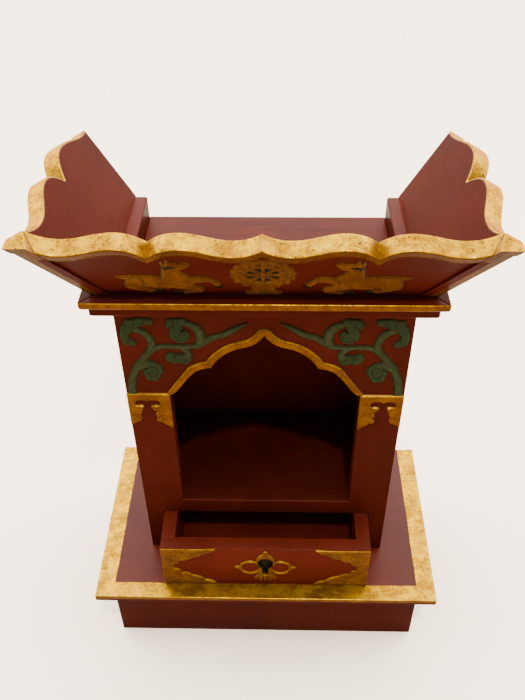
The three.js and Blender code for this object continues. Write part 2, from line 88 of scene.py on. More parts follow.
# Rounded edges of the carved boards, the cells of their meshes, and a place far from any outline
ROUND = 0.7
ROUND_CELL = 0.24
CELL = 0.6
WIDE_CELL = 0.62
SHARP = math.radians(42)
FAR = 50.0


# The camera, at the photograph's viewing angle
def make_camera():
    pitch = 0.724485849
    yaw = -0.0273907360
    roll = -0.0106796439
    focal_pixels = 773.750942
    picture_high = 700
    film_wide = 36
    place = (0.0106739941, -0.480486307, 0.737717868)
    forward = Vector((math.sin(yaw) * math.cos(pitch), math.cos(yaw) * math.cos(pitch), -math.sin(pitch)))
    level = Vector((math.cos(yaw), -math.sin(yaw), 0))
    upward = level.cross(forward)
    right = level * math.cos(roll) + upward * math.sin(roll)
    top = upward * math.cos(roll) - level * math.sin(roll)
    data = bpy.data.cameras.new("photo_camera")
    data.sensor_fit = "AUTO"
    data.sensor_width = film_wide
    data.lens = focal_pixels / picture_high * film_wide
    camera = bpy.data.objects.new("photo_camera", data)
    turn = Matrix((right, top, -forward)).transposed().to_4x4()
    camera.matrix_world = Matrix.Translation(place) @ turn
    bpy.context.scene.collection.objects.link(camera)
    bpy.context.scene.camera = camera


make_camera()


# The plain gloss left on the shader's own socket beneath the gloss that varies. The
# gloss that is kept where the exported model drops the one that varies
PLAIN_GLOSS = 0.03

# How deep brush marks and grain go, in metres
PAINT_DEPTH = 0.0002

# Colours of the red paint
RED_DEEP = (0.036, 0.0038, 0.0013, 1)
RED_CLEAR = (0.050, 0.0058, 0.0019, 1)
RED_STREAK = (0.017, 0.0018, 0.0010, 1)
RED_FADED = (0.078, 0.0105, 0.0034, 1)
RED_WORN = (0.12, 0.024, 0.010, 1)
RED_SPECK = (0.010, 0.0014, 0.0010, 1)

# Colours of gold in two copies: a bright lit one for top faces, a painted highlight, and a brown shaded one
# for upright faces, painted shade
LIT_GOLD_DARK = (0.180, 0.079, 0.0004, 1)
LIT_GOLD_PALE = (0.34, 0.180, 0.0006, 1)
LIT_GOLD_STREAK = (0.44, 0.265, 0.002, 1)
LIT_GOLD_WORN = (0.052, 0.018, 0.0006, 1)
SHADED_GOLD_DARK = (0.052, 0.0170, 0.0010, 1)
SHADED_GOLD_PALE = (0.086, 0.031, 0.0018, 1)
SHADED_GOLD_WORN = (0.028, 0.0080, 0.0008, 1)
GOLD_LOST = (0.030, 0.0070, 0.0020, 1)
GOLD_GROOVE = (0.034, 0.0100, 0.0016, 1)
GOLD_TINT = (0.75, 0.46, 0.12, 1)

# Colours of the foliage, its lines and the dark pits
GREEN_DEEP = (0.0060, 0.0105, 0.0032, 1)
GREEN_CLEAR = (0.0120, 0.0175, 0.0060, 1)
GREEN_LINE = (0.024, 0.028, 0.012, 1)
DARK_LINE = (0.0060, 0.0032, 0.0016, 1)
PIT_DARK = (0.0034, 0.0028, 0.0018, 1)
BLACK = (0, 0, 0, 1)
WHITE = (1, 1, 1, 1)


# Material building blocks
class Look:
    def __init__(self, name):
        self.material = bpy.data.materials.new(name)
        self.material.use_nodes = True
        self.tree = self.material.node_tree
        self.tree.nodes.clear()
        coordinates = self.add("ShaderNodeTexCoord")
        self.place = coordinates.outputs["Object"]
        self.slope = self.split(coordinates.outputs["Normal"])[2]
        # Share of a face turned up, which decides where gold gets its painted highlight and where red is
        # spared painted shade
        self.top = self.rise(self.slope, 0.2, 0.75)
        self.flat = self.rise(self.slope, 0.62, 0.97)

    def add(self, kind, inputs=None, **settings):
        made = self.tree.nodes.new(kind)
        for key, value in settings.items():
            setattr(made, key, value)
        for key, value in (inputs or {}).items():
            socket = made.inputs[key]
            if isinstance(value, bpy.types.NodeSocket):
                self.tree.links.new(value, socket)
            else:
                socket.default_value = value
        return made

    def math(self, operation, *values):
        return self.add("ShaderNodeMath", dict(enumerate(values)), operation=operation).outputs[0]

    def noise(self, scale, detail=3, rough=0.5, stretch=(1, 1, 1)):
        moved = self.add("ShaderNodeMapping", {"Vector": self.place, "Scale": stretch}).outputs["Vector"]
        inputs = {"Vector": moved, "Scale": scale, "Detail": detail, "Roughness": rough}
        return self.add("ShaderNodeTexNoise", inputs).outputs["Fac"]

    def rise(self, value, low, high, bottom=0, top=1):
        inputs = {"Value": value, "From Min": low, "From Max": high, "To Min": bottom, "To Max": top}
        return self.add("ShaderNodeMapRange", inputs, interpolation_type="SMOOTHSTEP").outputs["Result"]

    def mix(self, share, first, second):
        return self.add("ShaderNodeMix", {0: share, 6: first, 7: second}, data_type="RGBA").outputs[2]

    def mix_value(self, share, first, second):
        return self.add("ShaderNodeMix", {0: share, 2: first, 3: second}, data_type="FLOAT").outputs[0]

    def split(self, vector):
        return self.add("ShaderNodeSeparateXYZ", {0: vector}).outputs

    def edge(self, radius):
        rounded = self.add("ShaderNodeBevel", {"Radius": radius}, samples=4).outputs[0]
        plain = self.add("ShaderNodeNewGeometry").outputs["Normal"]
        both = {0: rounded, 1: plain}
        match = self.add("ShaderNodeVectorMath", both, operation="DOT_PRODUCT").outputs["Value"]
        return self.math("SUBTRACT", 1, match)

    def finish(self, colour, metallic, roughness, gloss, height, depth, tint=WHITE):
        bump = self.add("ShaderNodeBump", {"Height": height, "Distance": depth, "Strength": 1})
        inputs = {
            "Base Color": colour,
            "Metallic": metallic,
            "Roughness": roughness,
            "Specular IOR Level": gloss,
            "Specular Tint": tint,
            "Normal": bump.outputs[0],
        }
        shader = self.add("ShaderNodeBsdfPrincipled", inputs)
        if isinstance(gloss, bpy.types.NodeSocket):
            shader.inputs["Specular IOR Level"].default_value = PLAIN_GLOSS
        self.add("ShaderNodeOutputMaterial", {"Surface": shader.outputs[0]})
        return self.material


# How fast the grain changes along x, y and z when it runs along one of them
GRAIN = {"x": (5, 90, 90), "y": (90, 5, 90), "z": (90, 90, 5)}


# Red satin paint over wood, with faded patches, painted shade that darkens faces not turned up, and more gloss
# where it faces up: colour, roughness, gloss and height
def red_paint(look, grain, streaky=0.16, sheen=0.04, upright=0.59, level=0.97):
    streak = look.noise(3, 6, 0.6, GRAIN[grain])
    fine = look.noise(9, 4, 0.6, GRAIN[grain])
    cloud = look.noise(16, 4, 0.55)
    mottle = look.noise(190, 4, 0.6)
    colour = look.mix(look.rise(cloud, 0.28, 0.74), RED_DEEP, RED_CLEAR)
    colour = look.mix(look.rise(streak, 0.42, 0.72, 0, streaky), colour, RED_STREAK)
    colour = look.mix(look.rise(mottle, 0.55, 0.75, 0, 0.25), colour, RED_FADED)
    worn = look.math("MULTIPLY", look.rise(look.edge(0.0012), 0.02, 0.16), look.rise(mottle, 0.38, 0.62))
    colour = look.mix(look.math("MULTIPLY", worn, 0.5), colour, RED_WORN)
    speck = look.rise(look.noise(620, 2, 0.5), 0.72, 0.78, 0, 0.5)
    colour = look.mix(speck, colour, RED_SPECK)
    # Painted shade: upright faces darkened towards black by 1 - upright, top faces by 1 - level
    deep = look.mix_value(look.top, 1 - upright, 1 - level)
    colour = look.mix(deep, colour, BLACK)
    roughness = look.math("ADD", look.mix_value(cloud, 0.30, 0.46), look.rise(fine, 0.4, 0.7, 0, 0.08))
    gloss = look.math("ADD", look.math("MULTIPLY", look.flat, sheen), 0.009)
    height = look.math("ADD", look.math("MULTIPLY", fine, 0.25), look.math("MULTIPLY", mottle, 0.3))
    return colour, roughness, gloss, height


# Worn gold, with a painted highlight making it bright on top faces and painted shade making it brown on
# upright ones: colour, metal, roughness, gloss and height
def gold_leaf(look, best=1.0, painted_upright_shade=0.0):
    patch = look.noise(75, 6, 0.68)
    wrinkle = look.noise(340, 6, 0.74)
    streak = look.noise(10, 6, 0.7, (10, 34, 10))
    bright = look.mix(look.rise(patch, 0.36, 0.64), LIT_GOLD_DARK, LIT_GOLD_PALE)
    bright = look.mix(look.rise(streak, 0.5, 0.72, 0, 0.7), bright, LIT_GOLD_STREAK)
    bright = look.mix(look.rise(wrinkle, 0.53, 0.70, 0, 0.9), bright, LIT_GOLD_WORN)
    shaded_gold = look.mix(look.rise(patch, 0.36, 0.64), SHADED_GOLD_DARK, SHADED_GOLD_PALE)
    shaded_gold = look.mix(look.rise(wrinkle, 0.52, 0.72, 0, 0.6), shaded_gold, SHADED_GOLD_WORN)
    # Painted shade: the upright copy is darkened further towards black
    shaded_gold = look.mix(painted_upright_shade, shaded_gold, BLACK)
    # Painted highlight: the lit copy takes the faces that point up, weakened by best
    painted_light_share = look.math("MULTIPLY", look.top, best)
    colour = look.mix(painted_light_share, shaded_gold, bright)
    chips = look.rise(look.noise(560, 4, 0.7), 0.56, 0.63)
    lost = look.math("MULTIPLY", chips, look.rise(patch, 0.62, 0.44))
    colour = look.mix(lost, colour, GOLD_LOST)
    kept = look.math("SUBTRACT", 1, lost)
    metal = look.math("MULTIPLY", kept, look.mix_value(painted_light_share, 0.0, 0.92))
    roughness = look.math("ADD", look.mix_value(patch, 0.20, 0.40), look.rise(wrinkle, 0.45, 0.7, 0, 0.14))
    gloss = look.mix_value(painted_light_share, 0.02, 0.3)
    height = look.math("ADD", look.math("MULTIPLY", wrinkle, 0.6), look.math("MULTIPLY", streak, 0.4))
    return colour, metal, roughness, gloss, height


# Red paint with gold where the mask says so
def masked(look, red, gold, mask):
    colour = look.mix(mask, red[0], gold[0])
    metal = look.math("MULTIPLY", mask, gold[1])
    roughness = look.mix_value(mask, red[1], gold[2])
    gloss = look.mix_value(mask, red[2], gold[3])
    height = look.mix_value(mask, red[3], gold[4])
    tint = look.mix(mask, WHITE, GOLD_TINT)
    return look.finish(colour, metal, roughness, gloss, height, PAINT_DEPTH, tint)


def plain_paint(name, grain, **settings):
    look = Look(name)
    colour, roughness, gloss, height = red_paint(look, grain, **settings)
    return look.finish(colour, 0.0, roughness, gloss, height, PAINT_DEPTH)


# Carved pieces: red, gold, green leaves with light and dark lines, and dark pits
def carved_paint(name, grain, best=1.0, painted_upright_shade=0.0, **settings):
    look = Look(name)
    paint = look.add("ShaderNodeAttribute", attribute_name="paint").outputs["Color"]
    gilded, green, pit = look.add("ShaderNodeSeparateColor", {0: paint}).outputs
    lines = look.add("ShaderNodeAttribute", attribute_name="lines").outputs["Color"]
    light, dark, shade = look.add("ShaderNodeSeparateColor", {0: lines}).outputs
    colour, roughness, gloss, height = red_paint(look, grain, **settings)
    leaf = look.mix(look.noise(90, 4, 0.6), GREEN_DEEP, GREEN_CLEAR)
    leaf = look.mix(light, leaf, GREEN_LINE)
    colour = look.mix(green, colour, leaf)
    colour = look.mix(dark, colour, DARK_LINE)
    gold, metal, gold_rough, gold_gloss, gold_height = gold_leaf(look, best, painted_upright_shade)
    gold = look.mix(shade, gold, GOLD_GROOVE)
    gold = look.mix(pit, gold, PIT_DARK)
    metal = look.math("MULTIPLY", metal, look.math("SUBTRACT", 1, look.math("MAXIMUM", pit, shade)))
    red = (colour, roughness, gloss, height)
    return masked(look, red, (gold, metal, gold_rough, gold_gloss, gold_height), gilded)


# Gold on the outer faces of the cap moulding
def cap_paint(name, grain):
    look = Look(name)
    place = look.split(look.place)
    beside = look.math("SUBTRACT", look.math("ABSOLUTE", place[0]), CAP_GOLD_SIDE * MM)
    before = look.math("SUBTRACT", CAP_GOLD_FRONT * MM, place[1])
    outer = look.math("GREATER_THAN", look.math("MAXIMUM", beside, before), 0)
    mask = look.math("MULTIPLY", outer, look.rise(look.math("ABSOLUTE", look.slope), 0.9, 0.7))
    return masked(look, red_paint(look, grain), gold_leaf(look), mask)


# Gold border on the base board: left, front and right, and over its upper edge
def base_paint(name, grain):
    look = Look(name)
    place = look.split(look.place)
    uneven = look.math("MULTIPLY", look.math("SUBTRACT", look.noise(55, 3), 0.5), 0.0016)
    beside = look.math("SUBTRACT", look.math("ABSOLUTE", place[0]), BORDER_SIDE * MM)
    before = look.math("SUBTRACT", BORDER_FRONT * MM, place[1])
    reach = look.math("ADD", look.math("MAXIMUM", beside, before), uneven)
    high = look.math("ADD", place[2], uneven)
    above = look.rise(high, (BORDER_FOOT - 0.5) * MM, (BORDER_FOOT + 0.5) * MM)
    mask = look.math("MULTIPLY", look.rise(reach, -0.15 * MM, 0.15 * MM), above)
    return masked(look, red_paint(look, grain, sheen=0.1), gold_leaf(look), mask)


# The front ends of the tray's side boards: gold along the outer face and on top, red behind
def end_paint(name):
    look = Look(name)
    place = look.split(look.place)
    out = look.math("SUBTRACT", look.math("ABSOLUTE", place[0]), SIDE_FOOT * MM)
    up = look.math("SUBTRACT", place[2], CAP_TOP * MM)
    depth = look.math("SUBTRACT", look.math("MULTIPLY", out, COS), look.math("MULTIPLY", up, SIN))
    height = look.math("ADD", look.math("MULTIPLY", out, SIN), look.math("MULTIPLY", up, COS))
    strip = look.math("GREATER_THAN", depth, -BAND * MM)
    tip = look.math("GREATER_THAN", height, (TIP_HIGH - TIP_GOLD) * MM)
    # The gold here is darkened further on upright faces by painted shade
    return masked(look, red_paint(look, "z"), gold_leaf(look, painted_upright_shade=0.5), look.math("MAXIMUM", strip, tip))


red_x = plain_paint("red_grain_x", "x")
red_y = plain_paint("red_grain_y", "y")
red_z = plain_paint("red_grain_z", "z", sheen=0.02)
red_worn = plain_paint("red_worn", "x", streaky=0.75, sheen=0.02)
# Darker red with painted shade on every face, for the niche floor and the walls of the carved frame
red_painted_shade = plain_paint("red_painted_shade", "x", level=0.6)
drawer_x = plain_paint("drawer_grain_x", "x", upright=1.0)
drawer_y = plain_paint("drawer_grain_y", "y", upright=1.0)
# The tray front's gold gets more painted shade on upright faces
carved_x = carved_paint("carved_grain_x", "x", painted_upright_shade=0.36)
# The drawer front's gold: a weaker painted highlight on top and some painted shade on upright faces
carved_drawer = carved_paint("carved_drawer", "x", 0.4, 0.15, upright=0.95)
carved_y = carved_paint("carved_grain_y", "y")
# The frame's gold: a weaker painted highlight on faces that point up
carved_z = carved_paint("carved_grain_z", "z", 0.45)
cap_gold = cap_paint("cap_gold", "x")
base_gold = base_paint("base_gold", "x")
end_gold = end_paint("end_gold")

BOARDS = {
    red_x: ["plinth_front", "plinth_back", "lower_moulding_front"],
    red_y: ["plinth_left", "plinth_right", "lower_moulding_left", "lower_moulding_right"],
    red_painted_shade: ["niche_floor"],
    drawer_x: ["drawer_back", "drawer_bottom"],
    drawer_y: ["drawer_left_side", "drawer_right_side"],
    red_z: ["cabinet_left_side", "cabinet_right_side", "cabinet_back"],
    red_worn: ["tray_floor"],
    cap_gold: ["cap_moulding_front", "cap_moulding_left", "cap_moulding_right"],
    base_gold: ["base_board"],
}
SOFT_EDGE = 0.8
EDGES = {"cabinet_left_side": 1.3, "cabinet_right_side": 1.3, "niche_floor": 0.15}


# Boards whose solids have the right shape: slightly rounded edges and paint
def dress_boards():
    for material, names in BOARDS.items():
        for name in names:
            board = nodes[name]
            board.data.materials.clear()
            board.data.materials.append(material)
            weld = board.modifiers.new("weld", "WELD")
            weld.merge_threshold = 0.00001
            bevel = board.modifiers.new("soft_edge", "BEVEL")
            bevel.width = EDGES.get(name, SOFT_EDGE) * MM
            bevel.segments = 3
            bevel.limit_method = "ANGLE"


dress_boards()


# Shapes as distance fields: negative inside
def smooth_line(points, steps=6):
    knots = np.array([points[0], *points, points[-1]], float)
    rows = []
    for i in range(1, len(knots) - 2):
        a, b, c, d = knots[i - 1:i + 3]
        for k in range(steps):
            s = k / steps
            rows.append(0.5 * (2 * b + (c - a) * s + (2 * a - 5 * b + 4 * c - d) * s ** 2
                               + (3 * b - a - 3 * c + d) * s ** 3))
    rows.append(knots[-1])
    return np.array(rows)


def segment_gap(x, y, a, b):
    dx = b[0] - a[0]
    dy = b[1] - a[1]
    share = np.clip(((x - a[0]) * dx + (y - a[1]) * dy) / (dx * dx + dy * dy + 1e-12), 0, 1)
    return np.hypot(x - a[0] - share * dx, y - a[1] - share * dy), share


def stroke_gap(x, y, discs):
    line = smooth_line(discs) if len(discs) > 2 else np.array(discs, float)
    best = np.full(x.shape, 1e3)
    for a, b in zip(line[:-1], line[1:]):
        gap, share = segment_gap(x, y, a, b)
        np.minimum(best, gap - (a[2] + (b[2] - a[2]) * share), out=best)
    return best


def strokes_gap(x, y, strokes):
    best = np.full(x.shape, 1e3)
    for discs in strokes:
        np.minimum(best, stroke_gap(x, y, discs), out=best)
    return best


def line_gap(x, y, points):
    best = np.full(x.shape, 1e3)
    for a, b in zip(points[:-1], points[1:]):
        np.minimum(best, segment_gap(x, y, a, b)[0], out=best)
    return best


def polygon_gap(x, y, points):
    inside = np.zeros(x.shape, bool)
    ring = [*points, points[0]]
    for a, b in zip(ring[:-1], ring[1:]):
        crosses = (a[1] > y) != (b[1] > y)
        at = a[0] + (b[0] - a[0]) * (y - a[1]) / (b[1] - a[1] + 1e-12)
        inside ^= crosses & (x < at)
    gap = line_gap(x, y, ring)
    return np.where(inside, -gap, gap)


def step(value, low, high):
    share = np.clip((value - low) / (high - low), 0, 1)
    return share * share * (3 - 2 * share)


def dome(inside, width):
    return np.sin(np.clip(inside / width, 0, 1) * math.pi / 2)


def ridge(value, centre, half):
    return np.clip(1 - np.abs(value - centre) / half, 0, 1)


# Slow waves of a hand-made surface
def waver(u, v):
    bent = np.sin(u * 0.071 + 1.3 * np.sin(v * 0.043))
    return (bent + np.sin(v * 0.093 + u * 0.031) + np.sin(u * 0.19 + 2)) / 3


# Scalloped edges: places as shares of the board's reach, heights as shares of the tip's height
FORMS = {
    "ease": lambda s: (1 - np.cos(np.pi * s)) / 2,
    "drop": lambda s: s ** 2.2,
    "swing": lambda s: 1 - (1 - s) ** 2.2,
    "line": lambda s: s,
}
FRONT_STATIONS = [
    (0, 0.9595, "line"), (0.117, 0.8311, "swing"), (0.325, 0.973, "ease"), (0.458, 0.8041, "drop"),
    (0.58, 0.973, "swing"), (0.797, 0.8446, "ease"), (0.925, 1, "drop"), (1.04, 1, "line"),
]
SIDE_STATIONS = [
    (-0.05, 1, "line"), (0.06, 1, "line"), (0.22, 0.8716, "swing"), (0.415, 1.0068, "ease"),
    (0.553, 0.8041, "drop"), (0.69, 1.0068, "swing"), (1, 0.824, "ease"),
]


def edge_height(stations, share):
    high = np.full(share.shape, float(stations[0][1]))
    for (a, low, _), (b, top, form) in zip(stations[:-1], stations[1:]):
        s = np.clip((share - a) / (b - a), 0, 1)
        high = np.where(share > a, low + (top - low) * FORMS[form](s), high)
    return high * TIP_HIGH


def front_edge(x):
    return edge_height(FRONT_STATIONS, np.abs(x) / TIP_X)


def side_edge(y):
    return edge_height(SIDE_STATIONS, (y - TIP_Y) / (BACK - TIP_Y))


# Paint channels of a carved piece: gold, green, pit; and light lines, dark lines, gold shade
def no_paint(shape):
    return {name: np.zeros(shape) for name in ("gold", "green", "pit", "light", "dark", "shade")}


DEER = [
    (102.1, 30), (98.3, 30.8), (92, 31.6), (86.7, 32.2), (80.8, 32.2), (75, 31.4), (70, 30.6), (68.6, 33.5),
    (67.9, 40.8), (66.8, 45), (67.4, 50.4), (65.8, 54), (64.2, 51.6), (62.9, 56.6), (61, 52.6), (59.2, 51.4),
    (55.6, 52), (52, 53), (49.4, 52.4), (47.5, 49.6), (48.3, 46.4), (51, 43.6), (55.2, 40.2), (54.2, 37),
    (51.7, 33.3), (48.6, 29.4), (46, 29.9), (41.7, 30.6), (37.4, 30.2), (34.6, 27), (31.9, 22), (28.8, 17.2),
    (28.6, 12.6), (32.6, 10.8), (34, 15.2), (35.4, 18.4), (37.9, 22.2), (41.7, 21.8), (46.4, 20.4),
    (48, 17.4), (44.6, 14.6), (41.6, 11.4), (40.8, 8.2), (42.4, 5), (47.5, 3.2), (53, 2.2), (58.3, 1.2),
    (63.6, 1.2), (65, 3.8), (61, 5.8), (55.4, 5), (52.2, 6), (52.8, 8.2), (57.6, 10.2), (61.6, 11.6),
    (66.7, 10.9), (72, 11), (77, 12), (80.4, 13.6), (81.4, 12.2), (79.4, 9.4), (76.4, 8), (71.8, 7.8),
    (70.8, 4), (75.6, 2.4), (80.4, 3.8), (84.8, 6.2), (90.8, 9), (95.6, 11.4), (97, 15.4), (96.2, 20.4),
    (94.8, 25.6), (97.6, 27.8),
]
DEER_LINES = [
    [(84.6, 31, 0.3), (82.2, 25, 0.4), (82.6, 18, 0.4), (84.6, 12, 0.2)],
    [(94.4, 25.4, 0.2), (91.6, 29, 0.3), (88, 30.6, 0.2)],
    [(49.4, 28.6, 0.2), (51.8, 24.4, 0.4), (50.6, 19.6, 0.4), (47.6, 17, 0.2)],
    [(61.6, 13.4, 0.2), (59.4, 17.4, 0.4), (55.6, 19, 0.2)],
    [(57.4, 41.2, 0.2), (60.4, 43, 0.3), (61.4, 46.2, 0.2)],
    [(65.9, 47, 0.3), (66, 51.6, 0.2)],
    [(49.6, 47.6, 0.2), (52.4, 47.2, 0.25), (54.6, 48.2, 0.1)],
    [(43.6, 26.4, 0.2), (39.2, 26.4, 0.3), (36.4, 24, 0.2)],
]
HOOVES = [
    [(30.2, 14.4, 3), (31.8, 11.6, 2.8)], [(72.4, 5.6, 3), (76, 4.8, 2.6)],
    [(63, 3.2, 2.8), (58, 3, 2.4)],
]
DEER_EYES = [[(61, 47, 2.3), (59.4, 47, 1.6)], [(64.4, 45, 1.7), (65.2, 47.6, 1.3)]]

WHEEL_HIGH = 34
WHEEL_RADIUS = 15
RIM = 3.2
HUB = 3.1
SPOKES = 8
FLAMES = 16
FLAME_RADIUS = 23.2
LOTUS = [
    (12.8, 1.2), (13.2, 4), (11, 6.4), (8.8, 7.8), (8.4, 9), (8.8, 12.6),
    (-8.8, 12.6), (-8.4, 9), (-8.8, 7.8), (-11, 6.4), (-13.2, 4), (-12.8, 1.2),
]


# The wheel in its ring of flames, on a lotus foot
def carve_wheel(x, t, high, paint):
    up = t - WHEEL_HIGH
    radius = np.hypot(x, up)
    angle = np.arctan2(up, x)
    outer = FLAME_RADIUS - 1.5 * np.abs(np.cos(FLAMES / 2 * angle + 0.5))
    inside = outer - radius
    swirl = np.cos(FLAMES * angle + 0.62 * (radius - WHEEL_RADIUS))
    tongue = np.cos(FLAMES * angle - 0.5 * (radius - WHEEL_RADIUS) + 1.2)
    flames = -RELIEF + RELIEF * dome(inside, 1.1) * (0.62 + 0.26 * swirl)
    flames -= 0.4 * ridge(tongue, -1, 0.4)
    here = (inside > 0) & (radius > WHEEL_RADIUS - 0.4)
    high = np.where(here, np.maximum(high, flames), high)
    cuts = np.maximum(ridge(swirl, -1, 0.7), 0.8 * ridge(tongue, -1, 0.3))
    paint["shade"] = np.where(here, np.maximum(paint["shade"], 0.8 * cuts), paint["shade"])
    paint["gold"] = np.maximum(paint["gold"], step(inside, -0.1, 0.35))
    rim = np.minimum(WHEEL_RADIUS - radius, radius - (WHEEL_RADIUS - RIM))
    ring = -0.45 + 0.45 * dome(rim, 0.9) - 0.45 * ridge(radius, WHEEL_RADIUS - 1.9, 0.35)
    high = np.where(rim > -0.3, ring, high)
    paint["shade"] = np.maximum(paint["shade"], 0.8 * ridge(radius, WHEEL_RADIUS - 1.9, 0.4))
    paint["shade"] = np.maximum(paint["shade"], 0.9 * ridge(radius, WHEEL_RADIUS + 0.5, 0.5))
    pocket = WHEEL_RADIUS - RIM - radius
    turn = np.mod(angle + math.pi / SPOKES, 2 * math.pi / SPOKES) - math.pi / SPOKES
    spoke = 1.25 - np.abs(radius * np.sin(turn)) + 0.06 * (radius - 6)
    hub = np.minimum(HUB + 1.6 - radius, radius - HUB)
    solid = np.maximum(spoke, hub)
    level = -1.7 + 1.4 * dome(solid + 0.1, 0.9)
    level = np.where(radius < HUB, -1.7 + 0.9 * dome(HUB - radius, 2.4), level)
    high = np.where(pocket > 0, level, high)
    gap = step(pocket, 0.1, 0.5) * (1 - step(solid, -0.15, 0.3))
    paint["pit"] = np.maximum(paint["pit"], gap)
    return high


def carve_lotus(x, t, high, paint):
    inside = -polygon_gap(x, t, LOTUS)
    petal = np.abs(np.mod(x / 4.4 + 0.5, 1) - 0.5) * 4.4
    low_petals = ridge(petal, 2.2, 0.5) * (t < 7.4)
    upper = np.abs(np.mod(x / 3.2, 1) - 0.5) * 3.2
    high_petals = ridge(upper, 0, 0.45) * (t > 8.9)
    bar = np.maximum(ridge(t, 8.2, 0.9), ridge(t, 1.9, 0.5))
    cuts = np.clip(low_petals + high_petals, 0, 1) * (1 - bar)
    top = -RELIEF + dome(inside, 1) * (RELIEF - 0.45 + 0.4 * bar - 0.55 * cuts)
    paint["gold"] = np.maximum(paint["gold"], step(inside, -0.1, 0.35))
    paint["shade"] = np.where(inside > 0, np.maximum(paint["shade"], 0.85 * cuts), paint["shade"])
    return np.where(inside > 0, np.maximum(high, top), high)


# The field of a tray board, cut back below the gold band along its scalloped edge
def carve_band(a, t, edge):
    paint = no_paint(a.shape)
    band = BAND - (edge - t)
    field = -RELIEF + 0.07 * waver(a, t * 1.7)
    rim = -0.12 + 0.12 * waver(a * 1.3, t) - 0.4 * ridge(band, 1.9, 0.5)
    high = np.where(band > 0, field + (rim - field) * dome(band, 0.8), field)
    paint["gold"] = step(band, -0.1, 0.4)
    paint["shade"] = 0.75 * ridge(band, 1.9, 0.6)
    return high, paint, band


def carve_tray_front(x, t, edge):
    high, paint, band = carve_band(x, t, edge)
    side = np.abs(x)
    ring = smooth_line([*DEER, DEER[0]], 3)
    inside = -polygon_gap(side, t, ring)
    cuts = -strokes_gap(side, t, DEER_LINES)
    body = -RELIEF + RELIEF * dome(inside, 1.9) - 0.55 * step(cuts, -0.35, 0.15) * step(inside, 0, 0.8)
    high = np.where(inside > 0, np.maximum(high, body), high)
    paint["gold"] = np.maximum(paint["gold"], step(inside, -0.1, 0.35))
    paint["shade"] = np.maximum(paint["shade"], 0.9 * step(cuts, -0.4, 0.1) * (inside > 0.2))
    outline = ridge(inside, -0.35, 0.7) * (band < -0.5)
    paint["dark"] = 0.75 * outline
    marks = np.maximum(-strokes_gap(side, t, HOOVES), -strokes_gap(side, t, DEER_EYES))
    paint["pit"] = step(marks, -0.2, 0.25) * (inside > 0)
    high = carve_wheel(x, t, high, paint)
    high = carve_lotus(x, t, high, paint)
    return np.minimum(high, 0), paint


def carve_tray_side(y, t, edge):
    high, paint, _ = carve_band(y, t, edge)
    return np.minimum(high, 0), paint


# Closes a mesh behind where asked, turns its faces outwards and smooths all but sharp edges
def settle(mesh, close=False):
    work = bmesh.new()
    work.from_mesh(mesh)
    if close:
        loose = [edge for edge in work.edges if edge.is_boundary]
        bmesh.ops.triangle_fill(work, edges=loose, use_beauty=True, use_dissolve=False)
    bmesh.ops.recalc_face_normals(work, faces=work.faces)
    work.to_mesh(mesh)
    work.free()
    mesh.polygons.foreach_set("use_smooth", [True] * len(mesh.polygons))
    mesh.set_sharp_from_angle(angle=SHARP)


# Makes a mesh object from places in millimetres, with its paint
def make_piece(name, places, faces, paint, materials, face_materials=None):
    mesh = bpy.data.meshes.new(name)
    mesh.from_pydata((np.asarray(places) * MM).tolist(), [], faces)
    for material in materials:
        mesh.materials.append(material)
    if face_materials is not None:
        mesh.polygons.foreach_set("material_index", face_materials)
    for key, names in (("paint", ("gold", "green", "pit")), ("lines", ("light", "dark", "shade"))):
        layer = mesh.attributes.new(key, "FLOAT_COLOR", "POINT")
        values = np.ones((len(places), 4), np.float32)
        for i, channel in enumerate(names):
            values[:, i] = paint[channel]
        layer.data.foreach_set("color", values.ravel())
    settle(mesh)
    piece = bpy.data.objects.new(name, mesh)
    bpy.context.scene.collection.objects.link(piece)
    return piece


# Rows down a tray board's back, as shares of its height
BACK_ROWS = (0.985, 0.97, 0.94, 0.88, 0.8, 0.7, 0.6, 0.5, 0.4, 0.3, 0.2, 0.1, 0.0)


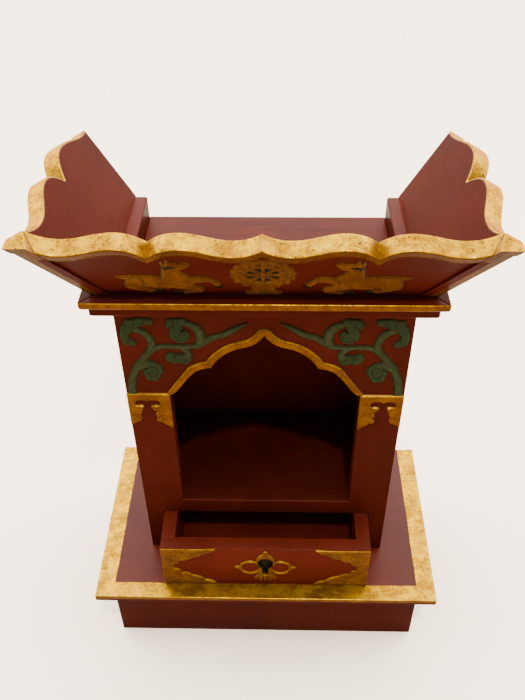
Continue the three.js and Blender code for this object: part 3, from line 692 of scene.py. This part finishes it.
# A leaning tray board: one closed ring of rows round its section for each column.
# Each row has a depth, a share of the height and a drop below the edge. The heights settle in rounds.
def leaning_board(name, columns, thick, edge, along, limit, carve, to_world, gild, front_rows, material):
    corner = 0.9
    pace = 1.2
    start_high = 35.0
    rounds = 60
    turns = [math.pi / 2 * k / 4 for k in range(5)]
    rows = [(0.0, v, 0.0) for v in np.linspace(0, 1, front_rows)[:-1]]
    rows += [(corner * (math.cos(turn) - 1), 1.0, corner * (1 - math.sin(turn))) for turn in turns]
    top_start = len(rows)
    across = [*np.arange(-2, -BAND, -pace), -BAND, *np.arange(-BAND - pace, corner - thick - 0.6, -pace)]
    rows += [(n, 1.0, 0.0) for n in across]
    top_end = len(rows)
    split_row = top_start + across.index(-BAND)
    rows += [(corner * (1 - math.sin(turn)) - thick, 1.0, corner * (1 - math.cos(turn))) for turn in turns]
    back_start = len(rows)
    rows += [(-thick, v, corner) for v in BACK_ROWS]
    rows.append((-BAND, 0.0, 0.0))
    n, share, drop = (np.array(part)[:, None] for part in zip(*rows))
    foot = (GAP + n * SIN) / COS
    s = np.asarray(columns)[None, :]
    t = np.full((len(rows), len(columns)), start_high)
    for _ in range(rounds):
        a = along(s, t * COS - n * SIN)
        peak = np.minimum(edge(a), limit(a, n)) - drop
        t = (t + foot + share * (peak - foot)) / 2
    a = along(s, t * COS - n * SIN)
    n = np.repeat(n, len(columns), axis=1)
    front = slice(0, front_rows)
    surface, front_paint = carve(a[front], t[front], edge(a[front]))
    fade = np.ones((front_rows, 1))
    fade[-1] = 0
    n[front] = surface * fade
    t[0] = (GAP + n[0] * SIN) / COS
    paint = no_paint(t.shape)
    for key, values in front_paint.items():
        paint[key][front] = values
    paint["gold"][front_rows - 1:back_start] = 1
    back = slice(back_start, None)
    wrap = np.minimum(edge(a[back]), limit(a[back], n[back])) - t[back]
    wrapped = step(1.1 + 0.5 * waver(a[back] * 4, n[back]) - wrap, -0.2, 0.2)
    paint["gold"][back] = np.maximum(wrapped, gild(a[back], t[back], n[back]))
    top = slice(top_start, top_end)
    t[top] += 0.16 * waver(a[top] * 2.3, n[top] * 5)
    places = to_world(a, t, n).reshape(-1, 3)
    count, wide = t.shape
    index = np.arange(count * wide).reshape(count, wide)
    below = np.roll(index, -1, axis=0)
    quads = np.stack([index[:, :-1], index[:, 1:], below[:, 1:], below[:, :-1]], -1).reshape(-1, 4).tolist()
    halves = ([*range(split_row + 1), count - 1], [*range(split_row, count)])
    ends = [index[half, column].tolist() for column in (0, wide - 1) for half in halves]
    tags = [0] * len(quads) + [1] * len(ends)
    flat = {key: values.ravel() for key, values in paint.items()}
    return make_piece(name, places, quads + ends, flat, [material, end_gold], tags)


INNER_FOOT = SIDE_FOOT - SIDE_THICK / COS - GAP / COS


def build_tray():
    def front_along(s, z):
        return s * (INNER_FOOT + z * TAN)

    def front_world(a, t, n):
        return np.stack([a, FRONT_FOOT - t * SIN - n * COS, CAP_TOP + t * COS - n * SIN], -1)

    def no_limit(a, n):
        return np.full(np.broadcast(a, n).shape, 100.0)

    def no_gild(a, t, n):
        return np.zeros(t.shape)

    columns = np.linspace(-1, 1, 501)
    piece = leaning_board("tray_front_carved", columns, FRONT_THICK, front_edge, front_along, no_limit,
                          carve_tray_front, front_world, no_gild, 112, carved_x)
    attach(piece, "cabinet")
    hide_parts("tray_front_panel")

    def side_along(s, z):
        start = FRONT_FOOT - z * TAN
        return start + s * (BACK - start)

    def front_top(y, n):
        return ((TIP_HIGH + (y - FRONT_FOOT) * SIN) / COS + n * SIN) / COS

    # The side boards' inner faces are gilded where they stand over the front board's top
    def over_front(y, t, n):
        reach = (FRONT_FOOT - y) * COS - (t * COS - n * SIN) * SIN
        return step(reach, -FRONT_THICK - 0.6, -FRONT_THICK - 0.2) * (t > 62)

    for label, side in (("left", -1), ("right", 1)):
        def side_world(a, t, n, side=side):
            return np.stack([side * (SIDE_FOOT + t * SIN + n * COS), a, CAP_TOP + t * COS - n * SIN], -1)

        piece = leaning_board(f"tray_{label}_carved", np.linspace(0, 1, 201), SIDE_THICK, side_edge,
                              side_along, front_top, carve_tray_side, side_world, over_front, 60, carved_y)
        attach(piece, "cabinet")
        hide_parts(f"tray_{label}_panel")


build_tray()


# Flat carved boards: patches of columns and rows, joined, then closed round the edge and behind
def carved_board(name, patches, carve, to_world, thick, material, wall_material):
    flat = np.concatenate([np.stack([x.ravel(), z.ravel()], -1) for x, z in patches])
    keys = np.round(flat * 1000).astype(np.int64)
    _, first, back = np.unique(keys, axis=0, return_index=True, return_inverse=True)
    back = back.ravel()
    points = flat[first]
    faces = []
    start = 0
    for x, _ in patches:
        rows, wide = x.shape
        index = back[start:start + rows * wide].reshape(rows, wide)
        corners = [index[:-1, :-1], index[:-1, 1:], index[1:, 1:], index[1:, :-1]]
        faces.append(np.stack(corners, -1).reshape(-1, 4))
        start += rows * wide
    quads = np.concatenate(faces)
    high, paint = carve(points[:, 0], points[:, 1])
    edges = np.concatenate([quads[:, [i, (i + 1) % 4]] for i in range(4)])
    ordered = np.sort(edges, axis=1)
    _, first, counts = np.unique(ordered, axis=0, return_index=True, return_counts=True)
    rim = edges[first[counts == 1]]
    rim_points = np.unique(rim)
    total = len(points)
    behind = {int(p): total + i for i, p in enumerate(rim_points)}
    front = to_world(*points.T, high)
    rear = to_world(*points[rim_points].T, np.full(len(rim_points), -thick))
    places = np.concatenate([front, rear])
    for key, values in paint.items():
        paint[key] = np.concatenate([values, np.zeros(len(rim_points))])
    walls = [[int(b), int(a), behind[int(a)], behind[int(b)]] for a, b in rim]
    tags = [0] * len(quads) + [1] * len(walls)
    piece = make_piece(name, places, quads.tolist() + walls, paint, [material, wall_material], tags)
    settle(piece.data, close=True)
    return piece


# The arch: half of it from the right spring to the peak, as shares of width and rise
ARCH_CUSP = (0.545, 0.465)
ARCH_SHOULDER = (0.22, 0.8)
ARCH_CURVES = [
    [(1, 0), (0.857, 0.048), (0.818, 0.46), ARCH_CUSP],
    [ARCH_CUSP, (0.48, 0.62), (0.377, 0.754), ARCH_SHOULDER],
    [ARCH_SHOULDER, (0.117, 0.829), (0.045, 0.897), (0, 1)],
]
ARCH_BAND = 6.5
BRACKET_HIGH = 43


def arch_points():
    s = np.linspace(0, 1, 25)[:, None]
    parts = []
    for curve in ARCH_CURVES:
        a, b, c, d = (np.array(p) for p in curve)
        parts.append(a * (1 - s) ** 3 + 3 * b * s * (1 - s) ** 2 + 3 * c * s * s * (1 - s) + d * s ** 3)
    points = np.concatenate([parts[0], parts[1][1:], parts[2][1:]])
    return points * (NICHE_HALF, ARCH_RISE) + (0, SPRING)


ARCH = arch_points()

# Foliage on the right of the arch. Places run from the arch's spring level, x from the middle.
STEMS = [
    [(106.9, 1, 3.5), (106, 13, 3.4), (101.3, 27.7, 3.3), (96.3, 35.4, 3.2), (88, 46, 3), (79, 51, 2.7),
     (61.3, 50.7, 2.6), (52, 52, 2.8), (46.5, 55, 3), (40.2, 59.9, 3.1), (31, 63.3, 3), (24.7, 66.9, 2.9),
     (18, 71.6, 1.9), (12, 75, 0.5)],
    [(88.9, 45.4, 2.8), (86.3, 52, 3), (87.4, 58.8, 3.2), (91.4, 64.8, 3.2), (97, 68, 3.6)],
    [(50.7, 52.1, 3), (48.9, 57.7, 3.6), (48.6, 63.2, 3.8), (51.2, 69.4, 3.8), (56.4, 73.2, 3.1),
     (61, 74.4, 3)],
    [(64.7, 49.9, 2.4), (59.7, 46, 3), (59.6, 41, 3.6)],
    [(99, 28, 2.4), (91.6, 33.2, 3.4)],
]
LEAVES = [
    [(101, 74, 4.6), (98.6, 74.4, 3.6), (94, 75, 4.6), (90, 75.6, 3.6), (86.4, 75.8, 3.4)],
    [(103.4, 69.4, 4.8), (106.4, 62, 3.4), (104.8, 56, 4)], [(104.8, 56, 4), (101, 54.4, 3.3)],
    [(71.4, 72.6, 3.4), (70.4, 76.4, 2.6), (65.4, 75.4, 3.9), (61.6, 76.8, 2.9)],
    [(66.4, 70, 5), (63.8, 62.2, 7.4)], [(69.4, 66, 2.6), (70.6, 60.6, 1.6)],
    [(72.8, 42, 3.4), (74, 38.6, 3.2), (70, 36.2, 3)], [(66.4, 39.6, 4.8), (64.6, 35.6, 2.6)],
    [(60, 38.4, 3.6), (61.6, 34.8, 2.4)], [(72.4, 40, 4), (60.6, 39, 4)],
    [(88.9, 28.4, 7.6), (88.6, 23, 7.2)], [(83.6, 30, 3), (82, 25, 2.6)], [(92, 18, 3), (87, 16.8, 2.6)],
]
LEAF_GAPS = [
    [(56.8, 56.6, 0.5), (54.3, 59.9, 1.1), (53.9, 63.8, 1.3), (56.4, 67.4, 1.1), (60.2, 68.6, 0.8),
     (62.4, 66.6, 0.3)],
    [(97.4, 25.4, 1.3), (95.4, 28.4, 0.9), (92.4, 28.2, 0.4)],
    [(72, 46.4, 1.2), (66, 45.6, 0.8), (63.6, 44, 0.3)],
]
LEAF_LINES = [
    [(64, 65.6, 0.2), (60, 64.6, 0.3), (58.8, 61, 0.3), (61.6, 57.8, 0.3), (66, 58.6, 0.3), (68, 62.4, 0.2)],
    [(63.4, 62.4, 0.3), (65.4, 61.6, 0.2)],
    [(92, 28.6, 0.2), (88, 31, 0.3), (84.4, 28, 0.3), (84.8, 22.6, 0.3), (89, 20, 0.3), (92, 23, 0.3),
     (90, 26, 0.2)],
    [(88, 25.8, 0.3), (87.6, 24.4, 0.2)],
    [(63.6, 44, 0.2), (67.4, 42.6, 0.3), (70.4, 40.4, 0.3), (68.4, 38, 0.2)],
    [(61, 42, 0.2), (62.6, 38.6, 0.3), (60.8, 36.4, 0.2)],
    [(98, 77, 0.2), (97.4, 73, 0.3), (99.4, 70.6, 0.2)],
    [(90, 78, 0.2), (90.4, 74.6, 0.3), (93, 72.4, 0.2)],
    [(107, 66, 0.2), (103.6, 64.6, 0.3), (103, 59, 0.3), (104.8, 56, 0.2)],
    [(70, 78, 0.2), (68, 75.4, 0.3), (69, 71.4, 0.3), (72, 70.6, 0.2)], [(64, 78, 0.2), (64.4, 75, 0.2)],
]
BRACKET = [
    (76, 0.3), (76, -40.8), (78.4, -39.6), (80, -38.4), (83.4, -35.6), (87, -33), (90.6, -31.8),
    (90.8, -29.4), (89.4, -27), (91, -25), (90.6, -22.2), (88.8, -20.4), (91.6, -19), (93.6, -16.8),
    (94, -13.6), (99.4, -13.6), (99.8, -16.8), (101.6, -19.4), (101.4, -21.4), (103, -23.8),
    (102, -27), (102.2, -29.6), (104, -31.8), (107.6, -33.6), (110.4, -35.6), (114, -36.8), (114, 0.3),
]
BRACKET_CUTS = [
    [(96.3, -12.4, 2.8), (93, -10.4, 3), (89.6, -10.4, 2.8), (87.8, -11.6, 1.8)],
    [(96.3, -12.4, 2.8), (99.6, -10.4, 3), (103, -10.4, 2.8), (104.8, -11.6, 1.8)],
]
BRACKET_VEINS = [
    [(93.4, -17.2, 0.5), (89, -16.6, 0.4), (84.6, -15.8, 0.2)],
    [(89, -20.4, 0.5), (86.6, -20.2, 0.4), (82.4, -19, 0.2)],
    [(89.6, -26.8, 0.5), (87, -25.4, 0.4), (83.6, -24, 0.2)],
    [(86.6, -32.4, 0.4), (85.4, -29.6, 0.4), (82, -28, 0.2)],
    [(100, -17, 0.5), (103.4, -16.6, 0.4), (107, -15.8, 0.2)],
    [(101.6, -21, 0.5), (104.4, -20.2, 0.4), (108, -19, 0.2)],
    [(102.2, -27, 0.5), (105, -25.6, 0.4), (108, -24.4, 0.2)],
    [(106, -32.4, 0.4), (107, -30, 0.4), (109, -28, 0.2)],
]


def arch_at(x):
    return np.interp(np.abs(x), ARCH[::-1, 0], ARCH[::-1, 1])


def round_off(distance, radius):
    inset = np.clip(radius - distance, 0, radius)
    return radius - np.sqrt(radius * radius - inset * inset)


# Stems with two grooves, and broad curled leaves
def carve_foliage(side, up, high, paint):
    stem, leaf, lines = (np.full(side.shape, -FAR) for _ in range(3))
    near = (up > 0.4) & (up < 82) & (side > 8)
    where = (side[near], up[near])
    open_gap = strokes_gap(*where, LEAF_GAPS)
    stem[near] = -strokes_gap(*where, STEMS)
    leaf[near] = np.minimum(-strokes_gap(*where, LEAVES), open_gap)
    lines[near] = -strokes_gap(*where, LEAF_LINES)
    whole = np.maximum(stem, leaf)
    on_stem = step(stem, 0.1, 0.6)
    groove = np.maximum(ridge(stem, 1.3, 0.6), 0.8 * ridge(stem, 2.8, 0.45)) * on_stem
    curl = step(lines, -0.35, 0.2) * (1 - on_stem) * step(leaf, 0.2, 0.7)
    ring = ridge(leaf, 1.2, 0.5) * (1 - on_stem)
    form = (RELIEF - 0.3) * dome(whole, 1.3) - 0.4 * groove - 0.4 * curl
    high = np.where(whole > 0, np.maximum(form, 0), high)
    paint["green"] = step(whole, -0.15, 0.3)
    light = np.maximum(0.9 * on_stem * step(stem, 0.45, 0.85) * (1 - groove), 0.3 * ring * (1 - curl))
    paint["light"] = light * (0.75 + 0.25 * np.sin(side * 0.9 + up * 0.7))
    dark = np.maximum(0.85 * ridge(whole, 0, 0.7), 0.75 * np.maximum(groove, curl))
    return high, dark


def carve_frame(x, z):
    paint = no_paint(x.shape)
    side = np.abs(x)
    up = z - SPRING
    high = 0.06 * waver(x, z)
    rim = np.minimum(CABINET_HALF - side, np.where(side < NICHE_HALF, np.abs(z - NICHE_FLOOR), FAR))
    stile = np.where((z > NICHE_FLOOR) & (z < SPRING), side - NICHE_HALF, FAR)
    rim = np.minimum(rim, stile)
    high, dark = carve_foliage(side, up, high, paint)
    band = np.full(x.shape, -FAR)
    close = (up > -6) & (side < NICHE_HALF + ARCH_BAND + 2)
    band[close] = ARCH_BAND - line_gap(side[close], z[close], ARCH)
    foot = 0.83 * (NICHE_HALF + 2.8 - 0.67 * up - side)
    band = np.where(up < 30, np.minimum(band, foot), band)
    band = np.where(up < 0, -FAR, band)
    raised = RELIEF * dome(np.minimum(band, ARCH_BAND + 0.25 - band), 0.9) - 0.3 * ridge(band, 1.5, 0.45)
    high = np.where(band > 0, np.maximum(high, raised), high)
    paint["gold"] = step(band, -0.1, 0.35)
    paint["shade"] = 0.5 * ridge(band, 1.5, 0.5)
    held = (up < 4) & (up > -BRACKET_HIGH - 1) & (side > NICHE_HALF - 1)
    where = (side[held], up[held])
    bracket = np.full(x.shape, -FAR)
    bracket[held] = np.minimum(-polygon_gap(*where, BRACKET), strokes_gap(*where, BRACKET_CUTS))
    lines = np.zeros(x.shape)
    lines[held] = step(-strokes_gap(*where, BRACKET_VEINS), -0.35, 0.15)
    beads = ridge(up, -1.1, 1.1) * (0.5 + 0.5 * np.cos(side * 2.4))
    groove = ridge(up, -3, 0.5)
    lip = 0.3 * ridge(bracket, 0.8, 0.7) * (up < -5)
    gilded = (RELIEF - 0.3) * dome(bracket, 0.9) + lip - 0.4 * lines - 0.3 * groove + 0.3 * beads
    high = np.where(bracket > 0, np.maximum(gilded, 0), high)
    paint["gold"] = np.maximum(paint["gold"], step(bracket, -0.1, 0.35))
    paint["green"] = paint["green"] * (1 - paint["gold"])
    paint["shade"] = np.where(bracket > 0, np.maximum(0.5 * lines, 0.4 * groove), paint["shade"])
    bracket_line = 0.6 * ridge(bracket, -0.3, 0.6) * (up < -0.5)
    band_line = 0.55 * ridge(band, -0.35, 0.6) * (up > 0)
    paint["dark"] = np.maximum(dark * (bracket < 0), np.maximum(bracket_line, band_line))
    high = np.minimum(high, RELIEF) - round_off(rim, ROUND)
    return high, paint


# Places from low to high in each part, no further apart than its cell size
def spaced(*parts):
    values = []
    for low, high, size in parts:
        count = max(1, int(math.ceil((high - low) / size)))
        values.append(np.linspace(low, high, count + 1))
    return np.unique(np.round(np.concatenate(values), 6))


def build_frame():
    cusp = ARCH_CUSP[0] * NICHE_HALF
    half = spaced((0, cusp, CELL), (cusp, NICHE_HALF, CELL), (NICHE_HALF, DRAWER_SLOT_HALF, WIDE_CELL),
                  (DRAWER_SLOT_HALF, CABINET_HALF - ROUND, WIDE_CELL),
                  (CABINET_HALF - ROUND, CABINET_HALF, ROUND_CELL))
    xs = np.unique(np.concatenate([-half, half]))
    share = np.linspace(0, 1, 156)[:, None]
    base = np.where(np.abs(xs) < NICHE_HALF, arch_at(xs), SPRING)[None, :]
    upper_z = base + (CAP_TOP - base) * share
    upper = (np.broadcast_to(xs, upper_z.shape), upper_z)
    bracket_foot = SPRING - BRACKET_HIGH
    stile_rows = spaced((NICHE_FLOOR, NICHE_FLOOR + ROUND, ROUND_CELL), (NICHE_FLOOR + ROUND, bracket_foot, 9),
                        (bracket_foot, SPRING, WIDE_CELL))
    rail_rows = spaced((SLOT_TOP, SLOT_TOP + ROUND, ROUND_CELL), (SLOT_TOP + ROUND, NICHE_FLOOR - ROUND, 4),
                       (NICHE_FLOOR - ROUND, NICHE_FLOOR, ROUND_CELL))
    foot_rows = spaced((BASE_TOP, SLOT_TOP, 8))
    patches = [upper, np.meshgrid(xs, rail_rows)]
    for low, rows in ((NICHE_HALF, stile_rows), (DRAWER_SLOT_HALF, foot_rows)):
        for side in (-1, 1):
            inner = xs[side * xs > low - 1e-6]
            patches.append(np.meshgrid(inner, rows))

    def to_world(x, z, high):
        return np.stack([x, FRAME_FRONT - high, z], -1)

    piece = carved_board("front_frame_carved", patches, carve_frame, to_world, FRAME_THICK, carved_z,
                         red_painted_shade)
    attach(piece, "cabinet")
    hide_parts("front_frame")


build_frame()


# The drawer's front: gold corners, an ornament and a keyhole
CORNER_NODES = [(45, 27.5), (56, 21), (68, 13.5), (78, 9.5), (84, 3)]
CORNER_VEINS = [
    [(90, 22, 0.2), (78, 22.4, 0.35), (62, 22.6, 0.3), (55, 24.6, 0.15)],
    [(91, 19, 0.2), (82, 17.6, 0.35), (73, 16.4, 0.15)],
    [(92, 14, 0.2), (87, 11.4, 0.35), (83, 10.2, 0.15)],
    [(60, 21.6, 0.2), (57.6, 23.6, 0.3), (56.4, 26, 0.15)],
    [(70, 16.6, 0.2), (67.6, 19.4, 0.3), (66, 22, 0.15)],
    [(81, 10, 0.2), (79.4, 13.6, 0.3), (77.4, 16.6, 0.15)],
    [(76.4, 22.8, 0.2), (74.4, 24.8, 0.3), (73, 27, 0.1)],
]
KEYHOLE = [[(0, 8, 7), (0, 4, 7), (0, -0.5, 4.4), (0, -4, 2.8), (0, -9, 3.2)]]
ORNAMENT = [
    [(0, 5.6, 9.8), (0, 11, 8.4), (0, 19.5, 3), (0, 23, 2.4)], [(0, 4, 8), (0, -8, 6.4)],
]
RING = (14, -0.6)
RING_OUTER = 10.6
RING_INNER = 7.6
FINIAL = [[(23, -0.6, 3), (25, -0.4, 2.2), (27, -0.2, 1.6)]]
TAIL = [
    [(0, -9, 2.2), (0, -19.4, 2.2)], [(2, -9, 2.2), (4.4, -19, 2.2)], [(4, -8.6, 2.2), (8.6, -17.2, 2.1)],
]


def corner_outline():
    upper = [CORNER_NODES[0]]
    for (ax, ay), (bx, by) in zip(CORNER_NODES[:-1], CORNER_NODES[1:]):
        length = math.hypot(bx - ax, by - ay)
        for k in range(1, 9):
            s = k / 8
            bulge = 1.7 * math.sin(math.pi * s) / length
            upper.append((ax + (bx - ax) * s + (by - ay) * bulge, ay + (by - ay) * s - (bx - ax) * bulge))
    lower = [(x, -y) for x, y in reversed(upper)]
    beyond = DRAWER_HALF + 3
    above = DRAWER_HALF_HIGH + 3
    return [*upper, *lower, (beyond, -above), (beyond, above)]


def carve_drawer(x, z):
    paint = no_paint(x.shape)
    side = np.abs(x)
    up = np.abs(z)
    high = 0.05 * waver(x * 1.2, z)
    corner = -polygon_gap(side, z, corner_outline())
    veins = step(-strokes_gap(side, up, CORNER_VEINS), -0.35, 0.15) * step(corner, 0.2, 0.9)
    raised = (RELIEF - 0.1) * dome(corner, 1.1) + 0.1 * waver(x * 3, z * 3) - 0.5 * veins
    high = np.where(corner > 0, np.maximum(high, raised), high)
    paint["gold"] = step(corner, -0.1, 0.35)
    paint["shade"] = 0.85 * veins
    eye = np.hypot(side - RING[0], z - RING[1])
    ring = np.minimum(RING_OUTER - eye, eye - RING_INNER)
    middle = np.maximum(-strokes_gap(side, z, ORNAMENT), -strokes_gap(side, z, FINIAL))
    middle = np.maximum(middle, -strokes_gap(side, z, TAIL))
    middle = np.where(eye < RING_INNER, -(RING_INNER - eye), middle)
    whole = np.maximum(middle, ring)
    key = -strokes_gap(x, z, KEYHOLE)
    feather = ridge(np.abs(np.mod(side / 4.3 + 0.5, 1) - 0.5) * 4.3, 2.15, 0.5) * (z < -10)
    lips = np.maximum(ridge(ring, 1.9, 0.5), ridge(key, -1.8, 0.5)) * (whole > 0)
    form = RELIEF * dome(whole, 1.2) - 0.5 * feather - 0.35 * lips
    high = np.where(whole > 0, np.maximum(form, 0.1), high)
    paint["gold"] = np.maximum(paint["gold"], step(whole, -0.1, 0.35))
    shade = np.where(whole > 0, np.maximum(0.8 * feather, 0.7 * lips), 0)
    paint["shade"] = np.maximum(paint["shade"], shade)
    high = np.where(key > 0, high + (-3 - high) * step(key, 0, 0.9), high)
    paint["pit"] = step(key, -0.1, 0.4)
    paint["dark"] = 0.6 * np.maximum(ridge(corner, -0.3, 0.6), ridge(whole, -0.3, 0.6))
    rim = np.minimum(DRAWER_HALF - side, DRAWER_HALF_HIGH - up)
    return np.minimum(high, RELIEF) - round_off(rim, ROUND), paint


# Places from one rounded edge of the drawer's front to the other
def between_edges(half):
    flat = half - ROUND
    return spaced((-half, -flat, ROUND_CELL), (-flat, flat, CELL), (flat, half, ROUND_CELL))


def build_drawer_front():
    patches = [np.meshgrid(between_edges(DRAWER_HALF), between_edges(DRAWER_HALF_HIGH))]

    def to_world(x, z, high):
        return np.stack([x, DRAWER_FRONT - high, DRAWER_MIDDLE + z], -1)

    piece = carved_board("drawer_front_carved", patches, carve_drawer, to_world, DRAWER_THICK,
                         carved_drawer, drawer_x)
    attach(piece, "drawer")
    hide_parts("drawer_front")


build_drawer_front()


# The pale floor under the altar
def build_stage():
    look = Look("pale_floor")
    cloud = look.noise(3, 3)
    colour = look.mix(cloud, (0.86, 0.72, 0.575, 1), (0.88, 0.74, 0.595, 1))
    material = look.finish(colour, 0.0, 0.9, 0.2, cloud, 0.0001)
    mesh = bpy.data.meshes.new("floor")
    reach = 9
    mesh.from_pydata([(-reach, -reach, 0), (reach, -reach, 0), (reach, reach, 0), (-reach, reach, 0)], [],
                     [(0, 1, 2, 3)])
    mesh.materials.append(material)
    floor = bpy.data.objects.new("floor", mesh)
    bpy.context.scene.collection.objects.link(floor)


# A soft lamp, turned towards the place it lights
def add_light(name, place, aim, wide, deep, power, colour):
    data = bpy.data.lights.new(name, "AREA")
    data.shape = "RECTANGLE"
    data.size = wide
    data.size_y = deep
    data.energy = power
    data.color = colour
    light = bpy.data.objects.new(name, data)
    light.location = place
    light.rotation_euler = (Vector(aim) - Vector(place)).to_track_quat("-Z", "Y").to_euler()
    bpy.context.scene.collection.objects.link(light)


# White studio walls: bright above and behind, dimmer on the camera's side
def build_world():
    world = bpy.data.worlds.new("studio")
    world.use_nodes = True
    tree = world.node_tree
    background = tree.nodes["Background"]
    background.inputs["Color"].default_value = (1.0, 0.955, 0.90, 1)
    direction = tree.nodes.new("ShaderNodeTexCoord")
    parts = tree.nodes.new("ShaderNodeSeparateXYZ")
    tree.links.new(direction.outputs["Generated"], parts.inputs[0])
    ramp = tree.nodes.new("ShaderNodeMapRange")
    ramp.interpolation_type = "SMOOTHSTEP"
    for key, value in (("From Min", -0.75), ("From Max", 0.35), ("To Min", 0.8), ("To Max", 9.5)):
        ramp.inputs[key].default_value = value
    tree.links.new(parts.outputs[1], ramp.inputs["Value"])
    tree.links.new(ramp.outputs["Result"], background.inputs["Strength"])
    bpy.context.scene.world = world


build_stage()
build_world()
add_light("key", (0.12, -0.92, 2.15), (0.0, 0.0, 0.3), 0.07, 0.07, 44, (1.0, 0.95, 0.88))
add_light("fill", (0.3, -1.3, 0.35), (0.0, 0.0, 0.17), 0.7, 0.5, 5, (1.0, 0.94, 0.86))
